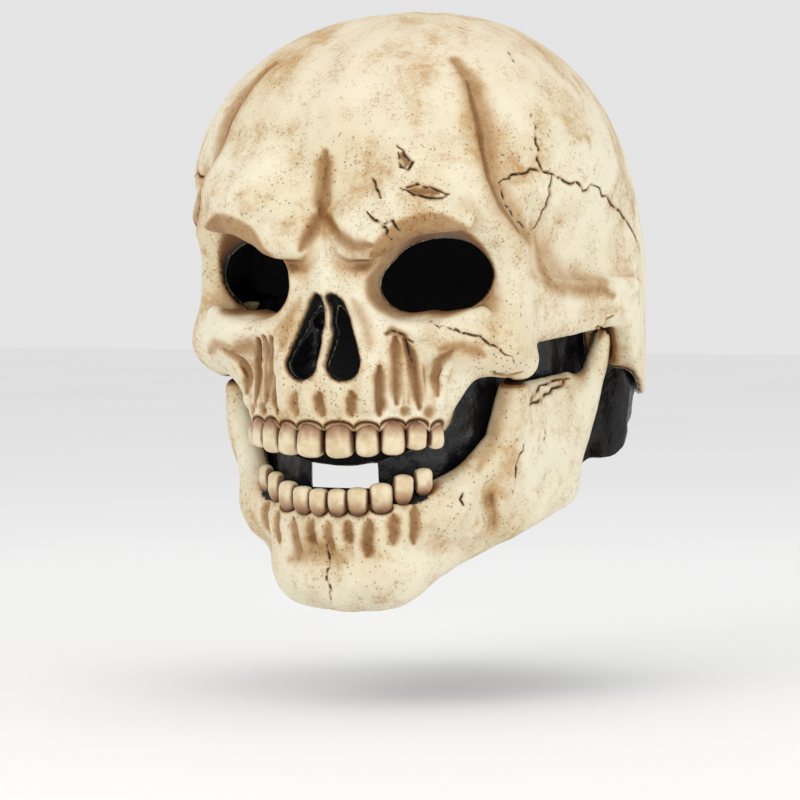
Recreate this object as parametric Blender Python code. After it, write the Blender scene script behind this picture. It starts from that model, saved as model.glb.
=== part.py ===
"""Full-head skull mask of cast latex, as it is worn: a bone-coloured skull and jaw over a black under-skin,
with twenty teeth. It is hollow, and open at the neck, the eyes, the mouth and the nose.

Each soft form is a distance field, made of limbs (tapered, flattened capsules along a path) that are added to or
cut from each other with a soft blend, and then turned into a mesh. The tables are in millimetres in the head's own
frame: X to the wearer's left, Y to the back, Z up, with Z = 0 at the pupils and Y = 0 in the middle of the head.
They hold the left half, because the mask is symmetric.
"""

import itertools
from collections import namedtuple

import bmesh
import bpy
import numpy as np
from mathutils import Matrix

MM = 0.001
SEAT = (0.0, 14.0, 112.4)  # inside of the crown, which the wearer's head carries: the origin of the object
SKIN = 3.0  # wall of the bone-coloured latex
WEB = 2.4  # wall of the black latex
GAP = 1.4  # between two pieces
JAW_CLEARANCE = 1.0  # from the jaw to the cheekbone and the arch over it
LINING = 1.5  # wall of the nose lining
LINING_OVERLAP = 0.4  # from the lining to the edge of the nostril
TOOTH_GAP = 0.35  # round a tooth, in its seat
TOOTH_SQUARENESS = 0.5  # power that squares up a globe: 1 leaves it round
TOOTH_NARROWING = 0.22  # of the width, from the middle of a tooth to its gum
FAR = 1e3  # farther than any form
FACE_SPACE_BACK, FACE_SPACE_BLEND = 44, 10  # where the space for the face ends, along Y
CRANIUM_SPACE_FRONT, CRANIUM_SPACE_BLEND = 24, 6  # where the space for the back of the head starts
HEAD_BLEND = 14
ADD, CUT = 1, -1
ROUND = (1.0, 1.0, 1.0)
SIDE = [1, 2]  # the axes of a side profile

Form = namedtuple("Form", "name joins blend path radii flat")

BRAINCASE = [
    Form("braincase", ADD, 0, [(0, 14, 4), (0, 14, -35)], (100, 100), (0.88, 0.98, 1.08)),
    Form("parietal", ADD, 16, [(0, 12, 46), (12, 12, 46)], (63, 62), (1.0, 1.25, 0.98)),
    Form("forehead", ADD, 16, [(0, -20, 38), (13, -19, 39)], (76, 73), (1.0, 1.0, 0.94)),
    Form("temple hollow", CUT, 12, [(92, -62, 12), (106, -24, 14), (114, 0, 16)], (25, 29, 30), (1, 1, 1.1)),
]

FACE = [
    Form("brow", ADD, 10, [(11, -88, 24), (30, -86, 37), (50, -76, 38), (60, -66, 30)], (14, 15, 12, 9), ROUND),
    Form("frown crease", CUT, 6, [(0, -104, 64), (0, -106, 45), (0, -107, 30)], (3, 5, 4), (0.6, 1, 1)),
    Form("midface", ADD, 12, [(0, -57, -8), (0, -60, -38)], (38, 39), ROUND),
    Form("maxilla", ADD, 8, [(0, -66, -30), (0, -65, -50)], (37, 36), (1.06, 1.0, 0.33)),
    Form("maxilla buttress", ADD, 8, [(33, -78, -48), (46, -70, -26)], (8, 9), ROUND),
    Form("nasal bridge", ADD, 7, [(0, -86, 22), (0, -95, 2)], (9, 7), ROUND),
    Form("nasal side wall", ADD, 6, [(13, -88, 2), (17, -90, -30)], (9, 9), ROUND),
    Form("cheekbone", ADD, 8, [(22, -84, -17), (46, -79, -18), (59, -64, -20)], (8, 11, 12), ROUND),
    Form("cheekbone corner", ADD, 8, [(58, -62, -20), (63, -52, -27)], (11, 8), ROUND),
    Form("socket outer post", ADD, 8, [(62, -62, -10), (64, -60, 10), (60, -66, 27)], (7, 6, 7), ROUND),
    Form("cheek arch", ADD, 5, [(64, -52, -12), (77, -14, -8), (83, 16, -7)], (10, 8.5, 7), (0.6, 1, 1)),
    Form("cheek hollow", CUT, 8, [(34, -106, -36), (50, -88, -42)], (10, 10), ROUND),
    Form("socket, outer lobe", CUT, 5, [(45, -100, 9), (40, -60, 6)], (20, 15), (1.2, 1, 1)),
    Form("socket, inner lobe", CUT, 5, [(31, -104, 2), (28, -66, 2)], (13, 11), (1.1, 1, 1)),
]
NOSTRIL = [Form("nostril", ADD, 0, [(4.8, -102, -6), (8.8, -102, -28)], (3.4, 6.6), (1, 2.2, 1))]

JAW = [
    Form("chin", ADD, 0, [(0, -75, -110), (15, -73, -108)], (17, 15), ROUND),
    Form("body", ADD, 10, [(15, -73, -108), (35, -52, -98), (45, -32, -91), (58, 2, -79)], (15, 11, 10, 9), ROUND),
    Form("ramus front", ADD, 10, [(59, -49, -40), (54, -50, -60), (45, -62, -76), (38, -68, -87)], (5.5, 6, 7, 8), ROUND),
    Form("upper ramus plate", ADD, 8, [(60, -32, -55), (66, -4, -50)], (19, 17), (0.35, 1, 1)),
    Form("lower ramus plate", ADD, 8, [(53, -36, -78), (60, -5, -72)], (19, 16), (0.4, 1, 1)),
    Form("ramus back", ADD, 6, [(77, 14, -16), (70, 8, -45), (61, 3, -76)], (5.5, 8, 9), (0.6, 1, 1)),
    Form("gum", ADD, 10, [(0, -84, -90), (18, -80, -90), (30, -72, -86), (38, -64, -84)], (12, 11, 10, 9), ROUND),
]

FACE_SPACE = [
    Form("face", ADD, 0, [(0, 20, 10), (0, 8, -75)], (100, 87), (0.70, 1.06, 0.35)),
    Form("brow space", ADD, 8, [(26, -68, 6), (47, -54, 7)], (15, 16), ROUND),
    Form("neck", ADD, 10, [(0, 14, -60), (0, 20, -200)], (100, 100), (0.50, 0.80, 1)),
]

# side profiles as (Y, Z), and the mouth slot as lowest and highest corner
NECK_CUT = [(-300, -5), (6, -5), (12, -16), (16, -26), (28, -35), (46, -43), (300, -46), (300, -400), (-300, -400)]
UNDER_SKIN_SIDE = [
    (-120, -42), (-82, -42), (-70, -14), (20, -8), (58, -10), (58, -38), (46, -45), (13, -84), (-40, -97), (-120, -97)
]
MOUTH_SLOT = ((-16, -110, -78), (16, -60, -67))
SIDE_HALF_WIDTH = 120

BreathingHole = namedtuple("BreathingHole", "x y z radius length")
BREATHING_HOLE = BreathingHole(8.6, -88.0, -29.5, 3.2, 24)

Mesh = namedtuple("Mesh", "box cell faces")  # where a field is meshed, at which cell size, to about how many triangles
SKULL = Mesh(((-97, -120, -70), (97, 122, 122)), 2.4, 3600)
SKULL_HOLLOW = Mesh(((-97, -120, -160), (97, 122, 122)), 3.0, 1900)
LOWER_JAW = Mesh(((-90, -115, -134), (90, 40, 4)), 2.4, 1400)
JAW_HOLLOW = Mesh(((-97, -115, -160), (97, 122, 20)), 3.0, 1100)
UNDER_SKIN = Mesh(((-97, -105, -160), (97, 122, 20)), 3.5, 1300)
UNDER_HOLLOW = Mesh(((-97, -105, -160), (97, 122, 20)), 3.5, 1100)
NOSE_LINING = Mesh(((-20, -122, -42), (20, -78, 4)), 1.5, 260)
NOSE_HOLLOW = Mesh(((-20, -122, -42), (20, -78, 4)), 1.5, 240)

Tooth = namedtuple("Tooth", "x y low high width thick turn")  # turn in degrees, to the side that the tooth faces
UPPER_TEETH = [
    Tooth(6.0, -98.5, -64.6, -50.4, 11.2, 7, 4),
    Tooth(16.3, -95.0, -64.0, -50.6, 9.4, 7, 14),
    Tooth(25.2, -90.8, -63.4, -49.6, 9.6, 7, 28),
    Tooth(32.8, -85.6, -61.6, -49.6, 8.4, 6, 42),
    Tooth(38.4, -79.2, -61.4, -50.4, 6.6, 5, 60),
]
LOWER_TEETH = [
    Tooth(3.9, -95.6, -87.4, -77.4, 7.2, 6, 4),
    Tooth(11.5, -93.4, -87.2, -76.8, 7.8, 6, 14),
    Tooth(19.6, -89.0, -86.6, -75.2, 8.8, 6, 30),
    Tooth(27.0, -84.6, -83.0, -72.0, 7.8, 5, 38),
    Tooth(33.4, -79.4, -79.6, -69.6, 7.0, 5, 46),
]


def limb_distance(points, form):
    """Distance from each point to a limb, exact to first order near its surface."""
    flat = np.array(form.flat, np.float32)
    stretched = points / flat
    path = [np.array(place, np.float32) / flat for place in form.path]
    if len(path) == 1:
        return limb_part(stretched, path[0], path[0], form.radii[0], form.radii[0], flat)
    parts = zip(path[:-1], path[1:], form.radii[:-1], form.radii[1:])
    return np.min([limb_part(stretched, *part, flat) for part in parts], axis=0)


def limb_part(stretched, start, end, start_radius, end_radius, flat):
    along = end - start
    share = np.clip((stretched - start) @ along / max(float(along @ along), 1e-9), 0, 1)
    away = stretched - start - share[:, None] * along
    length = np.linalg.norm(away, axis=1) + 1e-6
    slope = np.linalg.norm(away / flat, axis=1) / length + 1e-6
    return (length - start_radius - share * (end_radius - start_radius)) / slope


def soft_min(first, second, blend):
    if blend <= 0:
        return np.minimum(first, second)
    share = np.clip(0.5 + 0.5 * (second - first) / blend, 0, 1)
    return second + (first - second) * share - blend * share * (1 - share)


def soft_max(first, second, blend):
    return -soft_min(-first, -second, blend)


def left_half(points):
    return np.abs(points[:, :1]) * (1, 0, 0) + points * (0, 1, 1)


def add_forms(total, points, forms):
    for form in forms:
        distance = limb_distance(points, form)
        if form.joins == ADD:
            total = soft_min(total, distance, form.blend)
        else:
            total = soft_max(total, -distance, form.blend)
    return total


def profile_distance(points, axes, corners):
    """Distance to a closed outline that is extruded without end along the third axis."""
    flat = points[:, axes]
    corners = np.array(corners, np.float32)
    nearest = np.full(len(flat), FAR, np.float32)
    inside = np.zeros(len(flat), bool)
    for start, end in zip(corners, np.roll(corners, -1, axis=0)):
        edge = end - start
        away = flat - start
        share = np.clip(away @ edge / (edge @ edge), 0, 1)
        nearest = np.minimum(nearest, np.linalg.norm(away - share[:, None] * edge, axis=1))
        crosses = (start[1] > flat[:, 1]) != (end[1] > flat[:, 1])
        turn = away[:, 0] * edge[1] - away[:, 1] * edge[0]
        inside ^= crosses & ((turn < 0) == (edge[1] > 0))
    return np.where(inside, -nearest, nearest)


# how a tetrahedron's surface runs, by which corners are inside (as bits): triangles of crossed edges
CROSSINGS = {
    1: [[(0, 1), (0, 2), (0, 3)]],
    2: [[(1, 0), (1, 3), (1, 2)]],
    4: [[(2, 0), (2, 1), (2, 3)]],
    8: [[(3, 0), (3, 2), (3, 1)]],
    3: [[(0, 2), (0, 3), (1, 3)], [(0, 2), (1, 3), (1, 2)]],
    5: [[(0, 3), (0, 1), (2, 1)], [(0, 3), (2, 1), (2, 3)]],
    9: [[(0, 1), (0, 2), (3, 2)], [(0, 1), (3, 2), (3, 1)]],
}


def skull_without_nostrils(points):
    points = left_half(points)
    cranium = add_forms(np.full(len(points), FAR), points, BRAINCASE)
    cranium = soft_max(cranium, -profile_distance(points, SIDE, NECK_CUT), 2)
    return add_forms(cranium, points, FACE)


def nostrils(points):
    return add_forms(np.full(len(points), FAR), left_half(points), NOSTRIL)


def skull_outside(points):
    return soft_max(skull_without_nostrils(points), -nostrils(points), 1.5)


def jaw_outside(points):
    points = left_half(points)
    jaw = add_forms(np.full(len(points), FAR), points, JAW)
    return soft_max(jaw, JAW_CLEARANCE - skull_without_nostrils(points), 1)


def head_space(points):
    """The space for the wearer's head and neck."""
    points = left_half(points)
    face = add_forms(np.full(len(points), FAR), points, FACE_SPACE)
    face = soft_max(face, points[:, 1] - FACE_SPACE_BACK, FACE_SPACE_BLEND)
    cranium = add_forms(np.full(len(points), FAR), points, BRAINCASE[:1]) + SKIN
    cranium = soft_max(cranium, CRANIUM_SPACE_FRONT - points[:, 1], CRANIUM_SPACE_BLEND)
    return soft_min(face, cranium, HEAD_BLEND)


def skull_cavity(points):
    return np.minimum(skull_without_nostrils(points) + SKIN, head_space(points))


def jaw_cavity(points):
    return np.minimum(jaw_outside(points) + SKIN, head_space(points))


def under_skin_outside(points):
    return head_space(points) + GAP


def under_skin_inside(points):
    return head_space(points) + GAP + WEB


def nose_lining_outside(points):
    behind_bone = skull_without_nostrils(points) + SKIN + GAP
    return np.maximum(nostrils(points) - LINING_OVERLAP - LINING, behind_bone)


def nose_lining_inside(points):
    return nostrils(points) - LINING_OVERLAP


def grid_values(field, low, high, cell):
    counts = np.ceil((np.array(high) - low) / cell).astype(int) + 1
    steps = [low[axis] + cell * np.arange(counts[axis]) for axis in range(3)]
    points = np.stack(np.meshgrid(*steps, indexing="ij"), axis=-1).reshape(-1, 3).astype(np.float32)
    values = field(points).reshape(counts)
    for axis in range(3):
        for end in (0, -1):
            values.swapaxes(0, axis)[end] = np.maximum(values.swapaxes(0, axis)[end], cell / 2)
    return values


def tetrahedra():
    """The six tetrahedra of a cube, as corner offsets, each with its corners in right-handed order."""
    found = []
    for axes in itertools.permutations(range(3)):
        steps = np.cumsum([np.zeros(3, int), *np.eye(3, dtype=int)[list(axes)]], axis=0)
        right_handed = np.linalg.det(steps[1:] - steps[0]) > 0
        found.append(steps if right_handed else steps[[0, 2, 1, 3]])
    return found


def surface_triangles(inside, cells):
    """Triangles round the inside grid points, facing out. Each corner is the grid edge that it lies on."""
    triangles = []
    for corners in tetrahedra():
        ends = np.stack([np.ravel_multi_index((cells + corner).T, inside.shape) for corner in corners], axis=1)
        kind = inside.reshape(-1)[ends] @ (1, 2, 4, 8)
        for held, rings in CROSSINGS.items():
            for pattern, order in ((held, 1), (15 - held, -1)):
                chosen = ends[kind == pattern]
                for ring in rings:
                    triangles.append(chosen[:, np.array(ring[::order])])
    return np.sort(np.concatenate(triangles), axis=2)


def surface_mesh(field, box, cell):
    """The points and triangles where a field is zero, closed at the box."""
    low = np.array(box[0], float)
    values = grid_values(field, low, box[1], cell)
    inside = values < 0
    around = []
    for corner in itertools.product((0, 1), repeat=3):
        part = [slice(start, start + size - 1) for start, size in zip(corner, inside.shape)]
        around.append(inside[tuple(part)])
    cells = np.argwhere(np.any(around, axis=0) & ~np.all(around, axis=0))
    triangles = surface_triangles(inside, cells)
    edges, corner = np.unique(triangles.reshape(-1, 2), axis=0, return_inverse=True)
    ends = np.stack(np.unravel_index(edges, inside.shape), axis=-1)
    start, end = values.reshape(-1)[edges].T
    share = np.clip(start / (start - end), 0.05, 0.95)[:, None]
    points = low + (ends[:, 0] + share * (ends[:, 1] - ends[:, 0])) * cell
    return largest_piece(points, corner.reshape(-1, 3))


def pulled_onto(field, points, cell):
    """The points moved along the field's slope onto its surface."""
    step = 0.2
    slope = np.stack([field(points + move) - field(points - move) for move in np.eye(3) * step], axis=1) / (2 * step)
    distance = field(points)
    distance[np.abs(distance) > cell] = 0
    move = -distance[:, None] * slope / np.maximum((slope**2).sum(axis=1), 0.3)[:, None]
    size = np.linalg.norm(move, axis=1, keepdims=True)
    return points + move * np.minimum(1, 0.5 * cell / np.maximum(size, 1e-9))


def mesh_object(name, points, faces, material=None):
    mesh = bpy.data.meshes.new(name)
    mesh.from_pydata(((np.array(points) - SEAT) * MM).tolist(), [], [list(map(int, face)) for face in faces])
    obj = bpy.data.objects.new(name, mesh)
    bpy.context.scene.collection.objects.link(obj)
    if material:
        mesh.materials.append(material)
    return obj


def object_of(name, shape):
    """Turns a bmesh, in the head's frame, into an object."""
    bmesh.ops.recalc_face_normals(shape, faces=shape.faces)
    shape.verts.index_update()
    points = [tuple(vert.co) for vert in shape.verts]
    obj = mesh_object(name, points, [[vert.index for vert in face.verts] for face in shape.faces])
    shape.free()
    return obj


def largest_piece(points, faces):
    """Drops every separate bubble but the largest."""
    label = np.arange(len(points))
    while True:
        lowest = label[faces].min(axis=1)
        spread = label.copy()
        np.minimum.at(spread, faces.reshape(-1), np.repeat(lowest, faces.shape[1]))
        spread = spread[spread]
        if (spread == label).all():
            break
        label = spread
    kept = label == np.bincount(label).argmax()
    renumber = np.cumsum(kept) - 1
    return points[kept], renumber[faces[kept[faces[:, 0]]]]


def field_object(name, field, wanted, material=None):
    """A decimated mesh of a field's surface."""
    points, faces = surface_mesh(field, wanted.box, wanted.cell)
    obj = mesh_object(name, pulled_onto(field, points, wanted.cell), faces, material)
    thin = obj.modifiers.new("fewer faces", "DECIMATE")
    thin.ratio = wanted.faces / len(faces)
    thin.use_symmetry = True
    thin.symmetry_axis = "X"
    return obj


def box_object(name, low, high):
    corners = list(itertools.product(*zip(low, high)))
    faces = [(0, 1, 3, 2), (4, 6, 7, 5), (0, 4, 5, 1), (2, 3, 7, 6), (0, 2, 6, 4), (1, 5, 7, 3)]
    return mesh_object(name, corners, faces)


def side_prism(name, profile, half_width):
    """A closed solid of a side profile, from the right to the left of the head."""
    shape = bmesh.new()
    outline = [shape.verts.new((-half_width, y, z)) for y, z in profile]
    extruded = bmesh.ops.extrude_face_region(shape, geom=[shape.faces.new(outline)])["geom"]
    across = [part for part in extruded if isinstance(part, bmesh.types.BMVert)]
    bmesh.ops.translate(shape, vec=(2 * half_width, 0, 0), verts=across)
    return object_of(name, shape)


def breathing_hole(name, hole, side):
    """A round rod along Y, for cutting one hole."""
    shape = bmesh.new()
    bmesh.ops.create_cone(
        shape, cap_ends=True, segments=12, radius1=hole.radius, radius2=hole.radius, depth=hole.length
    )
    bmesh.ops.rotate(shape, matrix=Matrix.Rotation(np.pi / 2, 3, "X"), verts=shape.verts)
    bmesh.ops.translate(shape, vec=(side * hole.x, hole.y, hole.z), verts=shape.verts)
    return object_of(name, shape)


def cut(obj, cutter, operation="DIFFERENCE", solver="EXACT"):
    boolean = obj.modifiers.new(cutter.name, "BOOLEAN")
    boolean.solver = solver
    boolean.operation = operation
    boolean.object = cutter
    cutter.hide_render = True
    cutter.display_type = "WIRE"


def material(name, colour, roughness):
    made = bpy.data.materials.new(name)
    made.use_nodes = True
    shader = made.node_tree.nodes["Principled BSDF"]
    shader.inputs["Base Color"].default_value = (*colour, 1)
    shader.inputs["Roughness"].default_value = roughness
    made.diffuse_color = (*colour, 1)
    return made


def globe(segments, rings):
    """Points and faces of a globe of radius 1, from its lower pole up."""
    points = [(0, 0, -1)]
    for ring in range(1, rings):
        tilt = np.pi * ring / rings
        for segment in range(segments):
            turn = 2 * np.pi * (segment + 0.5) / segments
            points.append((np.sin(tilt) * np.cos(turn), np.sin(tilt) * np.sin(turn), -np.cos(tilt)))
    last = len(points)
    faces = []
    for segment in range(segments):
        after = (segment + 1) % segments
        faces.append((0, 1 + after, 1 + segment))
        faces.append((last, last - segments + segment, last - segments + after))
        for start in range(1, last - segments, segments):
            faces.append((start + segment, start + after, start + segments + after, start + segments + segment))
    return np.array(points + [(0, 0, 1)]), faces


def tooth_object(name, tooth, side, gum_up, grow=0.0, material=None):
    """A rounded block: a squared-up globe, wide at the biting edge and narrow at the gum."""
    points, faces = globe(8, 6)
    points = np.sign(points) * np.abs(points) ** TOOTH_SQUARENESS
    half = np.array((tooth.width, tooth.thick, tooth.high - tooth.low)) / 2 + grow
    points[:, 0] *= 1 - TOOTH_NARROWING * gum_up * points[:, 2] / 2
    turn = np.array(Matrix.Rotation(np.radians(tooth.turn), 3, "Z"))
    placed = (points * half) @ turn.T + (tooth.x, tooth.y, (tooth.low + tooth.high) / 2)
    if side < 0:
        faces = [face[::-1] for face in faces]
    return mesh_object(name, placed * (side, 1, 1), faces, material)


def main():
    for obj in list(bpy.data.objects):
        bpy.data.objects.remove(obj)
    bone = material("bone latex", (0.80, 0.71, 0.50), 0.6)
    enamel = material("tooth latex", (0.82, 0.73, 0.52), 0.45)
    black = material("black latex", (0.01, 0.01, 0.012), 0.25)
    # EXACT leaves an edge with four faces in the skull, so its cuts take MANIFOLD
    skull = field_object("skull_shell", skull_outside, SKULL, bone)
    cut(skull, field_object("skull_hollow", skull_cavity, SKULL_HOLLOW), solver="MANIFOLD")
    jaw = field_object("lower_jaw", jaw_outside, LOWER_JAW, bone)
    cut(jaw, field_object("jaw_hollow", jaw_cavity, JAW_HOLLOW))
    under = field_object("under_skin", under_skin_outside, UNDER_SKIN, black)
    cut(under, field_object("under_hollow", under_skin_inside, UNDER_HOLLOW))
    cut(under, side_prism("under_skin_side", UNDER_SKIN_SIDE, SIDE_HALF_WIDTH), "INTERSECT")
    cut(under, box_object("mouth_slot", *MOUTH_SLOT))
    lining = field_object("nose_lining", nose_lining_outside, NOSE_LINING, black)
    cut(lining, field_object("nose_hollow", nose_lining_inside, NOSE_HOLLOW))
    for side, letter in ((1, "l"), (-1, "r")):
        cut(lining, breathing_hole(f"breathing_hole_{letter}", BREATHING_HOLE, side))
    rows = (("upper", UPPER_TEETH, 1, skull, "MANIFOLD"), ("lower", LOWER_TEETH, -1, jaw, "EXACT"))
    for row, teeth, gum_up, carrier, solver in rows:
        for number, tooth in enumerate(teeth, 1):
            for side, letter in ((1, "l"), (-1, "r")):
                name = f"{row}_tooth_{letter}{number}"
                tooth_object(name, tooth, side, gum_up, material=enamel)
                seat = tooth_object(f"{name}_seat", tooth, side, gum_up, grow=TOOTH_GAP)
                cut(carrier, seat, solver=solver)


main()
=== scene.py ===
"""The looks of the skull mask: painted bone-coloured latex with cracks, stains, pores and painted shade
in its hollows, painted teeth, and glossy black latex behind the mouth, the cheeks and the nose.

The forms are the distance fields of the part's source, meshed again at a fine cell, with finer forms
added. The eye sockets narrow more than the part's, the nostrils' tops are deeper, and the black skin's
upper edge is a little higher. Tables are in millimetres in the head's frame: X to the wearer's left,
Y to the back, Z up, with the pupils at (0, 0, 0).
"""

import itertools
from collections import namedtuple
from concurrent.futures import ThreadPoolExecutor

import bpy
import numpy as np
from mathutils import Matrix, Vector, noise


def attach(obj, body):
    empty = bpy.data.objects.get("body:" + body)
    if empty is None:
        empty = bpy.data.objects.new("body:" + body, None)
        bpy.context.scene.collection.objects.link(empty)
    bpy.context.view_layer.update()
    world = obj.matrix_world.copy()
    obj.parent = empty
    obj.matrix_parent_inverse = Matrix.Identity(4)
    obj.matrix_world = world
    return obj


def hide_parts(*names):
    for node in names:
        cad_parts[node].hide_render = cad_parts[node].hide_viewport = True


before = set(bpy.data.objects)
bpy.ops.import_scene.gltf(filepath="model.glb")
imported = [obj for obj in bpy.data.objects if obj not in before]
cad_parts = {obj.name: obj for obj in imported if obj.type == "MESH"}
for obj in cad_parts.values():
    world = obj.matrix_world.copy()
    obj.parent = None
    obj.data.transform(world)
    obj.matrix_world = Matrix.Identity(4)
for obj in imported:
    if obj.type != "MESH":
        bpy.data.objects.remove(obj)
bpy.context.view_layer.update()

MM = 0.001
SEAT = (0.0, 14.0, 112.4)  # the origin of the row frame, in the head's frame
SKIN = 3.0
WEB = 2.4
GAP = 1.4
JAW_CLEARANCE = 1.0
LINING = 1.5
LINING_OVERLAP = 0.4
FAR = 1e3
FACE_SPACE_BACK, FACE_SPACE_BLEND = 44, 10
CRANIUM_SPACE_FRONT, CRANIUM_SPACE_BLEND = 24, 6
HEAD_BLEND = 14
ADD, CUT = 1, -1
ROUND = (1.0, 1.0, 1.0)
SIDE = [1, 2]
SEED = 7
FORM_REACH = 26  # farther than this from a form, it isn't worked out
WORKERS = ThreadPoolExecutor(4)

# the photograph: where its camera stands, and where it sees the middle of the pupils
AZIMUTH, ELEVATION = 22, 2  # degrees
DISTANCE = 1500
PX_PER_MM = 2.42  # at that distance
PUPILS_PX = (419, 290)
PICTURE_PX = 800
SENSOR = 36
SIGHT_START, SIGHT_STEPS = 180, 60  # mm before the pupils, and steps on to the bone

Form = namedtuple("Form", "name joins blend path radii flat")

BRAINCASE = [
    Form("braincase", ADD, 0, [(0, 14, 4), (0, 14, -35)], (100, 100), (0.88, 0.98, 1.08)),
    Form("parietal", ADD, 16, [(0, 12, 46), (12, 12, 46)], (63, 62), (1.0, 1.25, 0.98)),
    Form("forehead", ADD, 16, [(0, -20, 38), (13, -19, 39)], (76, 73), (1.0, 1.0, 0.94)),
    Form("temple hollow", CUT, 12, [(92, -62, 12), (106, -24, 14), (114, 0, 16)], (25, 29, 30), (1, 1, 1.1)),
]
FACE = [
    Form("brow", ADD, 10, [(11, -88, 24), (30, -86, 37), (50, -76, 38), (60, -66, 30)],
         (14, 15, 12, 9), ROUND),
    Form("frown crease", CUT, 6, [(0, -104, 64), (0, -106, 45), (0, -107, 30)], (3, 5, 4), (0.6, 1, 1)),
    Form("midface", ADD, 12, [(0, -57, -8), (0, -60, -38)], (38, 39), ROUND),
    Form("maxilla", ADD, 8, [(0, -66, -30), (0, -65, -50)], (37, 36), (1.06, 1.0, 0.33)),
    Form("maxilla buttress", ADD, 8, [(33, -78, -48), (46, -70, -26)], (8, 9), ROUND),
    Form("nasal bridge", ADD, 7, [(0, -86, 22), (0, -95, 2)], (9, 7), ROUND),
    Form("nasal side wall", ADD, 6, [(13, -88, 2), (17, -90, -30)], (9, 9), ROUND),
    Form("cheekbone", ADD, 8, [(22, -84, -17), (46, -79, -18), (59, -64, -20)], (8, 11, 12), ROUND),
    Form("cheekbone corner", ADD, 8, [(58, -62, -20), (63, -52, -27)], (11, 8), ROUND),
    Form("socket outer post", ADD, 8, [(62, -62, -10), (64, -60, 10), (60, -66, 27)], (7, 6, 7), ROUND),
    Form("cheek arch", ADD, 5, [(64, -52, -12), (77, -14, -8), (83, 16, -7)], (10, 8.5, 7), (0.6, 1, 1)),
    Form("cheek hollow", CUT, 8, [(34, -106, -36), (50, -88, -42)], (10, 10), ROUND),
    Form("socket, outer lobe", CUT, 3, [(45, -100, 9), (41, -74, 7), (40, -60, 6)],
         (20, 14.5, 13.5), (1.2, 1, 1)),
    Form("socket, inner lobe", CUT, 3, [(31, -104, 2), (29, -80, 2), (28, -66, 2)],
         (13, 10.5, 10), (1.1, 1, 1)),
]
SOCKETS = [form._replace(joins=ADD) for form in FACE[-2:]]
NOSTRIL = [
    Form("nostril", ADD, 0, [(4.8, -102, -6), (8.8, -102, -28)], (3.4, 6.6), (1, 2.2, 1)),
    Form("nostril top", ADD, 2, [(3.1, -101, -3), (5.2, -101, -12)], (1.8, 3.8), (1, 3.4, 1)),
]
JAW = [
    Form("chin", ADD, 0, [(0, -75, -110), (15, -73, -108)], (17, 15), ROUND),
    Form("body", ADD, 10, [(15, -73, -108), (35, -52, -98), (45, -32, -91), (58, 2, -79)],
         (15, 11, 10, 9), ROUND),
    Form("ramus front", ADD, 10, [(59, -49, -40), (54, -50, -60), (45, -62, -76), (38, -68, -87)],
         (5.5, 6, 7, 8), ROUND),
    Form("upper ramus plate", ADD, 8, [(60, -32, -55), (66, -4, -50)], (19, 17), (0.35, 1, 1)),
    Form("lower ramus plate", ADD, 8, [(53, -36, -78), (60, -5, -72)], (19, 16), (0.4, 1, 1)),
    Form("ramus back", ADD, 6, [(77, 14, -16), (70, 8, -45), (61, 3, -76)], (5.5, 8, 9), (0.6, 1, 1)),
    Form("gum", ADD, 10, [(0, -84, -90), (18, -80, -90), (30, -72, -86), (38, -64, -84)],
         (12, 11, 10, 9), ROUND),
]
FACE_SPACE = [
    Form("face", ADD, 0, [(0, 20, 10), (0, 8, -75)], (100, 87), (0.70, 1.06, 0.35)),
    Form("brow space", ADD, 8, [(26, -68, 6), (47, -54, 7)], (15, 16), ROUND),
    Form("neck", ADD, 10, [(0, 14, -60), (0, 20, -200)], (100, 100), (0.50, 0.80, 1)),
]
NECK_CUT = [
    (-300, -5), (6, -5), (12, -16), (16, -26), (28, -35), (46, -43), (300, -46), (300, -400), (-300, -400)
]
UNDER_SKIN_SIDE = [
    (-120, -42), (-82, -42), (-66, -14), (-34, -4), (20, -2), (58, -10),
    (58, -38), (46, -45), (13, -84), (-40, -97), (-120, -97)
]
MOUTH_SLOT = ((-14.5, -110, -77.5), (14.5, -60, -67.5))

Tooth = namedtuple("Tooth", "x y low high width thick turn")
UPPER_TEETH = [
    Tooth(6.0, -98.5, -64.6, -50.4, 11.2, 7, 4),
    Tooth(16.3, -95.0, -64.0, -50.6, 9.4, 7, 14),
    Tooth(25.2, -90.8, -63.4, -49.6, 9.6, 7, 28),
    Tooth(32.8, -85.6, -61.6, -49.6, 8.4, 6, 42),
    Tooth(38.4, -79.2, -61.4, -50.4, 6.6, 5, 60),
]
LOWER_TEETH = [
    Tooth(3.9, -95.6, -87.4, -77.4, 7.2, 6, 4),
    Tooth(11.5, -93.4, -87.2, -76.8, 7.8, 6, 14),
    Tooth(19.6, -89.0, -86.6, -75.2, 8.8, 6, 30),
    Tooth(27.0, -84.6, -83.0, -72.0, 7.8, 5, 38),
    Tooth(33.4, -79.4, -79.6, -69.6, 7.0, 5, 46),
]

TEETH = {"upper": UPPER_TEETH, "lower": LOWER_TEETH}
TOOTH_SCALE = {"upper": (1.07, 1.04), "lower": (1.12, 1.12)}  # painted wider and taller than the part's

# the lowest and highest corner of what is meshed, and the cells, in mm
SKULL_BOX = ((-97, -122, -72), (97, 122, 122))
SKULL_HOLLOW_BOX = ((-97, -122, -160), (97, 122, 122))
JAW_BOX = ((-90, -115, -134), (90, 40, 4))
JAW_HOLLOW_BOX = ((-97, -115, -160), (97, 122, 20))
UNDER_SKIN_BOX = ((-97, -105, -110), (97, 122, 12))
NOSE_BOX = ((-20, -122, -42), (20, -78, 4))
SKULL_CELL, JAW_CELL, QUICK_CELL = 1.4, 1.2, 2.4
SKULL_HOLLOW_CELL, JAW_HOLLOW_CELL = 2.8, 2.4
UNDER_SKIN_CELL, UNDER_HOLLOW_CELL, NOSE_CELL = 1.5, 3.0, 0.8

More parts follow.
